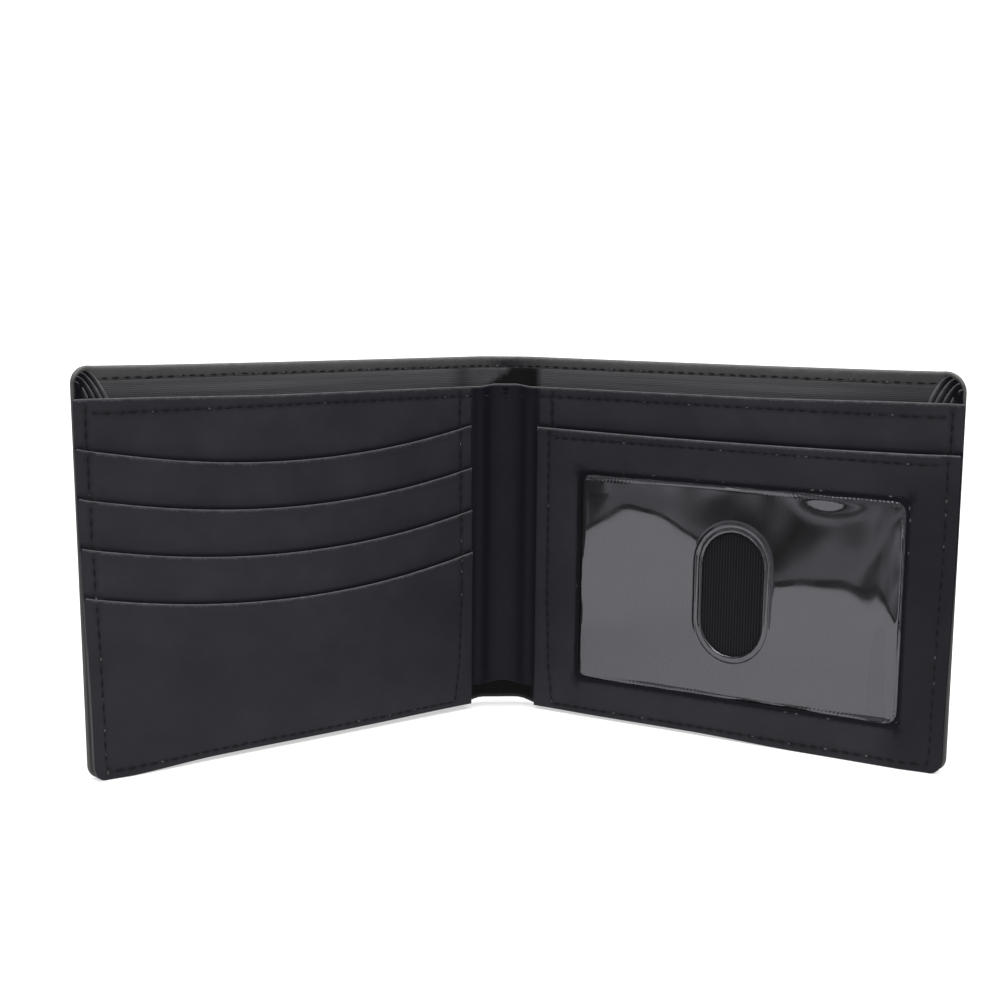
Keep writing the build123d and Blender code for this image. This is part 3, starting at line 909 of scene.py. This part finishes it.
def make_board(side, hand):
    """Board inside the turned edges of the cover."""
    edge = outline(BOARD_START, BOARD_END, BOARD_LOW, BOARD_TOP, 1.0, 1.0, step=4.0)
    piece = sheet(
        f"board_{hand}", side, cover_plan, [edge], LEATHER + CLEARANCE, BOARD_FRONT, CARDBOARD, step=6.0
    )
    put(piece, side, "stiffener_board", f"stiffener_{hand}")


def make_bill_lining(side, hand):
    """Half of the fabric that lines the bill compartment."""
    def drape(along, up):
        waves = 0.07 * np.sin(along / 6.5 + 0.8 * side) * smooth((along - 4) / 10)
        return np.maximum(waves * smooth((GUSSET_INNER - along) / 6), 0)

    low = spine_low_edge(side, LINING_LOW)
    edge = outline(-FOLD_X, LINING_END, low, HEM_LOW - 0.1, BOTTOM_RADIUS, 0.6, step=2.0)
    piece = sheet(
        f"bill_lining_half_{hand}", side, cover_plan, [edge], LINING_BACK, LINING_FRONT, LINING_FABRIC,
        rows=upright_rows(np.linspace(-5.0, 7.0, 13), 3.5, HEM_LOW - 0.6, 60), plain_at=-FOLD_X,
        shape=drape, step=3.0, shade=lambda a, u: lining_shade(side, a, u),
    )
    put(piece, side, "lining_fabric", f"bill_lining_{hand}", "bill_lining_spine", bent=cover_bend(side))


def divider_low(full):
    """Bottom edge of the divider: down to the seam on the panel, lifted clear across the spine."""
    return lambda along: np.where(along > POCKET_START - 0.2, full, 5.4 + 1.1 * smooth((3.0 - along) / 7.0))


def divider_top(along):
    """Top edge of the divider, which rises a little over the slack spine and at the far end."""
    return DIVIDER_TOP + 0.75 * smooth((4.0 - along) / 5.0) + 0.75 * smooth((along - 60) / 50)


def slack(along, up):
    """The divider bellies a little at the middle of the spine, most of all at half height."""
    return SLACK * near(along, DIVIDER_START, 4.0) * np.sin(pi * np.clip(up / DIVIDER_TOP, 0, 1))


def make_divider(side, hand):
    """Half of the divider's leather, slack across the spine and stitched along its top."""
    seams = ["divider", "perimeter"]
    pull = seam_pull(seams)
    crease = lip_shape(divider_top, 0.0, 0.04)
    next_lip = SLOT_LIPS[0] if side < 0 else WINDOW_LIP_LINE

    def shade(along, up):
        at_seams, above_lip = SEAM_SHADE * pull(along, up), lip_shadow(next_lip, along, up)
        return np.maximum.reduce([at_seams, spine_shade(side, along), above_lip])

    edge = outline(
        DIVIDER_START, POCKET_END, divider_low(POCKET_LOW), divider_top, POCKET_RADIUS, 0.8, step=1.3
    )
    rows = seam_rows(seams) + rows_below(divider_top) + rows_below(next_lip, SHADOW_ROWS)
    rows += upright_rows(np.arange(DIVIDER_START + 0.5, POCKET_START + 3, 0.55), 8.5, DIVIDER_TOP - 1.2, 46)
    piece = sheet(
        f"divider_half_{hand}", side, divider_plan, [edge], DIVIDER_BACK,
        lambda a, u: DIVIDER_FRONT - SEAM_DENT * pull(a, u), POCKET_LEATHER, rows=rows,
        plain_at=DIVIDER_START, wear_and_highlight=upper_edge_highlight, shape=lambda a, u: slack(a, u) + crease(a, u),
        shade=shade, step=2.6,
    )
    put(piece, side, "pocket_leather", f"divider_{hand}", "divider_spine", bent=divider_bend(side))


def make_divider_lining(side, hand):
    """Fabric on the rear of the divider, across the spine too."""
    low = divider_low(REAR_LOW)
    edge = outline(DIVIDER_START, REAR_END, lambda a: low(a) + 0.3, REAR_TOP, 0.8, 0.8, step=2.0)
    piece = sheet(
        f"divider_lining_half_{hand}", side, divider_plan, [edge], GAP_FRONT, DIVIDER_BACK, LINING_FABRIC,
        rows=upright_rows(np.arange(DIVIDER_START + 0.5, POCKET_START + 3, 0.7), 9.0, DIVIDER_TOP - 1.2, 40),
        plain_at=DIVIDER_START, shape=slack, step=3.0,
    )
    put(piece, side, "lining_fabric", f"divider_lining_{hand}", bent=divider_bend(side))


def make_gusset(side, hand):
    """Pleated side gusset: its folds fan down from the cover's rounded corner to the divider's top."""
    folds, steps = 2 * PLEATS, 7
    number = np.arange(folds + 1)
    turn = np.radians(92 - 84 * number / folds)
    fan = TOP_RADIUS[side] - 0.6
    feet = np.where(number % 2, GUSSET_INNER + 1.35 * (number - 1) / 2, GUSSET_OUTER - 1.8)
    feet[[0, -1]] = GUSSET_OUTER
    tops = REACH + fan * np.cos(turn) - TOP_RADIUS[side], HEIGHT + fan * np.sin(turn) - TOP_RADIUS[side]

    across = np.arange(folds * steps + 1) / steps
    fold = np.minimum(across.astype(int), folds - 1)
    blend = (1 - np.cos(pi * (across - fold))) / 2
    top_along, top_up, foot = (v[fold] + (v[fold + 1] - v[fold]) * blend for v in (*tops, feet))

    fan_end = DIVIDER_TOP - 2.0
    down = np.concatenate([np.linspace(0, 1, 22), 1 + np.linspace(0, 1, 26)[1:]])[:, None]
    fall = np.minimum(down, 1)
    along = top_along + (foot - top_along) * fall ** 0.6
    below_fan = fan_end + (GUSSET_LOW - fan_end) * (down - 1)
    up = np.where(down > 1, below_fan, top_up + (fan_end - top_up) * fall)
    spread = 0.25 + 0.75 * smooth(fall * 1.3)
    depth = GAP_BACK + 0.25 + (GAP_FRONT - GAP_BACK - 0.4) * across / folds * spread

    new_along, new_up, new_depth = settle(side, along, up, depth)
    free = smooth((up - DIVIDER_TOP) / 2.5) * 0.55
    x, y = cover_plan(new_along, new_depth + (depth - new_depth) * free)
    # The pleats' ridges get a painted highlight and their valleys painted shade.
    ridge = np.broadcast_to(0.5 - 0.5 * np.cos(pi * across), along.shape)
    piece = thick_grid(
        f"pleats_{hand}", np.stack([side * x, y, new_up], axis=-1), GUSSET_SHEET,
        np.stack([along, up], axis=-1) / 100, ridge ** 12, 1 - ridge ** 5, GUSSET_LEATHER,
    )
    put(piece, side, "gusset_leather", f"gusset_{hand}")


def make_slot(row, side=SIDES["left"]):
    """The leather of one card slot, counted from the rear, darker above the lip in front of it."""
    (start, end), (low, _), (back, front) = SLOTS[row - 1]
    line, is_front = SLOT_LIPS[row - 1], row == len(SLOTS)
    next_lip = line if is_front else SLOT_LIPS[row]
    pull = seam_pull(["perimeter"])

    def shade(along, up):
        # Darker at the seams, with painted shade deepening towards the bottom and the painted shadow of the lip in
        # front.
        at_seams, above_lip = SEAM_SHADE * pull(along, up), lip_shadow(next_lip, along, up)
        return np.maximum.reduce([at_seams, 0.22 * smooth((55 - up) / 45), above_lip * (not is_front)])

    radius = POCKET_RADIUS if is_front else SMALL_RADIUS
    edge = outline(start, end, low, line, radius, SMALL_RADIUS, step=1.3)
    piece = sheet(
        f"slot_leather_{row}", side, cover_plan, [edge], back + CLEARANCE,
        lambda a, u: front - 0.12 * pull(a, u), POCKET_LEATHER,
        rows=seam_rows(["perimeter"]) + rows_below(line) + rows_below(next_lip, SHADOW_ROWS),
        wear_and_highlight=upper_edge_highlight, shade=shade, shape=lip_shape(line, SLOT_GAPE), step=2.6, layout_shift=0.37 * row,
    )
    put(piece, side, "pocket_leather", f"card_slot_{row}")


def make_tongue(row, side=SIDES["left"]):
    """The fabric that carries a card slot's strip down to the bottom seam."""
    (start, end), (low, top), (back, front) = extent(f"slot_tongue_{row}")
    edge = outline(start, end, low, top, POCKET_RADIUS, SMALL_RADIUS, step=3.0)
    piece = sheet(f"tongue_{row}", side, cover_plan, [edge], back + CLEARANCE, front, LINING_FABRIC, step=4.0)
    put(piece, side, "lining_fabric", f"slot_tongue_{row}")


def make_ribbed_lining(side=SIDES["right"]):
    """The ribbed fabric at the rear of the ID pocket."""
    (start, end), (low, top), (back, front) = extent("id_pocket_lining")
    edge = outline(start, end, low, top, POCKET_RADIUS, SMALL_RADIUS, step=2.0)
    lining = sheet(
        "ribbed_lining", side, cover_plan, [edge], back + CLEARANCE, front, RIBBED_FABRIC, step=3.0
    )
    put(lining, side, "ribbed_fabric", "id_pocket_lining")


def window_inset(along, up):
    """How far inside the window's opening a point is."""
    return np.minimum.reduce([along - WINDOW[0], WINDOW[1] - along, up - WINDOW[2], WINDOW[3] - up])


def film_sag(along, up):
    """The film's slack: it stands off just inside its frame, with a few long shallow waves."""
    x = (along - WINDOW[0]) / (WINDOW[1] - WINDOW[0])
    z = (up - WINDOW[2]) / (WINDOW[3] - WINDOW[2])
    inset = window_inset(along, up)
    stand = 0.37 * np.clip(1 - (along - WINDOW[0]) / 20.5, 0, 1) ** 2
    tilt = sum(amount * near(x, at, width) for at, width, amount in FILM_TILTS)
    drop = 0.25 * near(x, 1.0, 0.035) * smooth((0.95 - z) / 0.3) * smooth((z - 0.35) / 0.3)
    waves = stand - drop + tilt * 12 * np.tanh((up - 45) / 12)
    ripple = 0.004 * (np.sin(2 * pi * (3.4 * x + 1.7 * z)) + np.sin(2 * pi * (7.1 * x - 2.2 * z + 0.3)))
    lens = 0.34 * near(x, 0.79, 0.10) * near(z, 1.0, 0.06)
    corner = 0.42 * near(x, 1.02, 0.05) * near(z, 1.0, 0.16)
    ridge = (0.14 + 0.06 * np.sin(along / 2.9) * np.sin(along / 7.7 + up / 3.1)) * near(inset, 0.5, 0.17)
    return (
        ridge + waves * smooth(inset / 0.9) + ripple * smooth((z - 0.45) / 0.4) * smooth(inset / 3)
        + (lens + corner) * smooth(inset)
    )


def thumb_rim(along, up):
    """The thumb hole's moulded rim: two raised ridges with a flat between them."""
    upright = np.maximum(np.abs(up - THUMB_CENTRE[1]) - (THUMB_HEIGHT - THUMB_WIDTH) / 2, 0)
    out = np.hypot(along - THUMB_CENTRE[0], upright) - THUMB_WIDTH / 2
    ridges = RIM_RIDGE * near(out, 0.45, 0.28) + RIM_RIDGE * near(out, RIM_WIDTH - 0.25, 0.28)
    return ridges + 0.08 * smooth((RIM_WIDTH - out) / 0.4) * smooth(out / 0.4)


def make_film(side=SIDES["right"]):
    """The clear film behind the window, with its thumb hole."""
    (x, y), w, h = THUMB_CENTRE, THUMB_WIDTH / 2, THUMB_HEIGHT / 2
    hole = even_loop(box_loop(x - w, x + w, y - h, y + h, w), 1.0)
    offsets = (0.25, 0.45, 0.65, 0.85, 1.1, 1.4, 1.6, 1.8, 2.0, 2.2, 2.5, 3.0)
    rings = [hole + outward(hole, None) * o for o in offsets]
    for inset in (0.2, 0.35, 0.5, 0.65, 0.8, 1.1, 1.5, 2.0, 2.6):
        line = box_loop(*(w + inset * d for w, d in zip(WINDOW, INWARD)), 2.5)
        length = 2 * (WINDOW[1] - WINDOW[0] + WINDOW[3] - WINDOW[2] - 4 * inset) - (8 - 2 * pi) * 2.5
        rings.append(even_loop(line, length / 260))
    edge = even_loop(box_loop(FILM_START, FILM_END, FILM_LOW, FILM_TOP, 2.0), 2.0)
    film = sheet(
        "film", side, cover_plan, [edge, hole], FILM_BACK, lambda a, u: FILM_BACK + FILM + thumb_rim(a, u),
        CLEAR_FILM, rows=rings, shape=film_sag, step=1.8, round_by=0.1, inner_edge=0.2,
    )
    put(film, side, "clear_film", "id_window_film")


def make_window_frame(side=SIDES["right"]):
    """The leather face of the ID pocket, with its window."""
    seams = ["perimeter", "lip", "window"]
    pull = seam_pull(seams)

    def shade(along, up):
        """Dark at the seams and round the window, with painted shade over the face that deepens towards the lower
        free corner.
        """
        cut_edge = CUT_EDGE_SHADE * smooth((1.6 + window_inset(along, up)) / 0.8)
        corner = 0.1 + 0.4 * smooth((along - 95) / 10) * smooth((72 - up) / 12)
        return np.maximum.reduce([SEAM_SHADE * pull(along, up), cut_edge, corner])

    edge = outline(*SLOTS[0][0], POCKET_LOW, WINDOW_LIP_LINE, POCKET_RADIUS, SMALL_RADIUS, step=1.3)
    opening = even_loop(box_loop(*WINDOW, WINDOW_RADIUS), 1.3)
    piece = sheet(
        "window_frame", side, cover_plan, [edge, opening], FRAME_BACK,
        lambda a, u: FACE - SEAM_DENT * pull(a, u), POCKET_LEATHER,
        rows=seam_rows(seams) + rows_below(WINDOW_LIP_LINE), wear_and_highlight=frame_lip_highlight, shade=shade,
        shape=lip_shape(WINDOW_LIP_LINE, LIP_GAPE), step=2.6, layout_shift=0.21,
    )
    put(piece, side, "pocket_leather", "id_window_frame")


def make_stitching(side, hand):
    """Every seam as separate stitches. The hem and the edge seam show on both faces."""
    def seam(name, path, face, *nodes, plan=cover_plan, bent=None, **options):
        piece = stitches(name, side, plan, path, face, THREAD_BLACK, **options)
        put(piece, side, "thread", *nodes, bent=bent)

    def front(along, up):
        return face_depth(side, along, up) - 0.7 * THREAD_SINK

    on_cover, on_divider, outer = cover_bend(side), divider_bend(side), {"outside": True, "start": 1.9}
    first, *middle, last = PERIMETER
    below_hem = [(first[0], HEM_SEAM - 2.5), *middle, (last[0], HEM_SEAM - 2.5)]
    seam(
        f"hem_thread_{hand}", SEAMS["hem"], level(HEM_DEPTH - THREAD_SINK),
        f"hem_stitch_{hand}", "hem_stitch_spine", bent=on_cover,
    )
    seam(f"hem_thread_outer_{hand}", SEAMS["hem"], level(THREAD_SINK), bent=on_cover, **outer)
    seam(
        f"divider_thread_{hand}", SEAMS["divider"], lambda a, u: DIVIDER_FRONT - THREAD_SINK + slack(a, u),
        f"divider_stitch_{hand}", "divider_stitch_spine", plan=divider_plan, bent=on_divider,
    )
    seam(f"edge_thread_{hand}", PERIMETER, front, f"perimeter_stitch_{hand}")
    seam(f"edge_thread_outer_{hand}", below_hem, level(THREAD_SINK), **outer)
    if side > 0:
        seam("lip_thread", SEAMS["lip"], front, "window_lip_stitch")
        seam("window_thread", SEAMS["window"], front, "window_stitch", closed=True)


for hand, side in SIDES.items():
    make_cover(side, hand)
    make_board(side, hand)
    make_bill_lining(side, hand)
    make_divider(side, hand)
    make_divider_lining(side, hand)
    make_gusset(side, hand)
    make_stitching(side, hand)
for row in range(1, len(SLOTS) + 1):
    make_slot(row)
for row in range(1, len(SLOTS)):
    make_tongue(row)
make_ribbed_lining()
make_film()
make_window_frame()


# ---- stage, light and camera

def make_floor():
    """A plain pale floor that glows a little, with a dark strip at its front that only reflections see."""
    s = Shader("pale_card")
    left, right, near_edge, far_edge = -0.7, 0.7, -0.137, 0.7
    where = s.node("TexCoord").outputs["Object"]
    pale = s.mix(s.noise(where, 40.0, 3.0), grey(0.50), grey(0.53))
    ahead = s.node("SeparateXYZ", i0=where).outputs[1]
    past_strip = s.remap(ahead, near_edge + 0.007, near_edge + 0.009, 0, 1)
    shown = s.sum(past_strip, s.node("LightPath").outputs["Is Camera Ray"], "MAXIMUM")
    tone = s.mix(shown, grey(0.02), pale)
    s.put(Base_Color=tone, Emission_Color=tone, Emission_Strength=1.05, Roughness=0.9, Specular_IOR_Level=0.1)
    corners = [(left, near_edge, 0), (right, near_edge, 0), (right, far_edge, 0), (left, far_edge, 0)]
    mesh = bpy.data.meshes.new("floor")
    mesh.from_pydata(corners, [], [(0, 1, 2, 3)])
    mesh.materials.append(s.owner)
    floor = bpy.data.objects.new("floor", mesh)
    bpy.context.scene.collection.objects.link(floor)


def make_softbox(name, at, aim, size, power):
    """A square area light that points at a place."""
    light = bpy.data.lights.new(name, "AREA")
    light.shape, light.size, light.energy = "SQUARE", size, power
    lamp = bpy.data.objects.new(name, light)
    lamp.location = at
    lamp.rotation_euler = (Vector(aim) - Vector(at)).to_track_quat("-Z", "Y").to_euler()
    bpy.context.scene.collection.objects.link(lamp)


# The room's patches of light: how each is added, then its azimuth and elevation in degrees,
# how far it reaches each way, and its value inside and outside
ROOM_PATCHES = (
    ("MULTIPLY", 240.5, -7.6, (4.5, 1.5), 0.1, 1.0),
    ("ADD", 246.5, -7.0, (4.0, 3.5), 0.46, 0.0),
    ("ADD", 240.0, -10.2, (5.0, 2.8), 0.34, 0.0),
)


def make_world():
    """White behind the wallet, and a dimmer room for it to reflect."""
    s = Shader("studio", bpy.data.worlds, "Background")
    bpy.context.scene.world = s.owner
    direction = s.node("TexCoord").outputs["Generated"]

    def patch(azimuth, elevation, reach, inside, outside):
        """A value that changes near one direction. Azimuth runs from +Y towards +X."""
        turn, rise = radians(azimuth), radians(elevation)
        away = direction
        for operation, value in (
            ("SUBTRACT", (sin(turn) * cos(rise), cos(turn) * cos(rise), sin(rise))),
            ("MULTIPLY", [1 / radians(r) for r in (reach[0], reach[0], reach[1])]),
        ):
            away = s.node("VectorMath", {"operation": operation}, i0=away, i1=value).outputs[0]
        away = s.node("VectorMath", {"operation": "LENGTH"}, i0=away).outputs["Value"]
        return s.remap(away, 0, 1, inside, outside, "SMOOTHSTEP")

    stretched = s.node("Mapping", i0=direction, Scale=(1, 1, 3.5)).outputs[0]
    strength = s.remap(s.noise(stretched, 5.5), 0.36, 0.62, 0.10, 0.85)
    for operation, *spot in ROOM_PATCHES:
        strength = s.sum(strength, patch(*spot), operation)
    s.put(Color=(0.96, 0.96, 1.0, 1), Strength=strength)
    white = s.node("Background", Color=(1, 1, 1, 1), Strength=1.5).outputs[0]
    seen = s.node("LightPath").outputs["Is Camera Ray"]
    mixed = s.node("MixShader", i0=seen, i1=s.surface.outputs[0], i2=white).outputs[0]
    s.set(s.tree.nodes["World Output"].inputs[0], mixed)


def make_camera():
    """The camera stands in front, a little left of the middle, and looks slightly down."""
    data = bpy.data.cameras.new("camera")
    data.sensor_width, data.lens, data.shift_y = 36.0, 63.48, 0.07
    camera = bpy.data.objects.new("camera", data)
    yaw, pitch, roll = radians(4.11), radians(9.46), radians(0.61)
    turn = Matrix.Rotation(-yaw, 4, "Z") @ Matrix.Rotation(pi / 2 - pitch, 4, "X")
    turn = turn @ Matrix.Rotation(roll, 4, "Z")
    camera.matrix_world = Matrix.Translation(Vector((-32.75, -412.5, 109.97)) * MM) @ turn
    bpy.context.scene.collection.objects.link(camera)
    bpy.context.scene.camera = camera


make_floor()
make_world()
make_camera()
make_softbox("overhead", at=(0, -0.4, 1.25), aim=(0, -0.05, 0), size=1.7, power=39)
bpy.context.scene.view_settings.view_transform = "Standard"
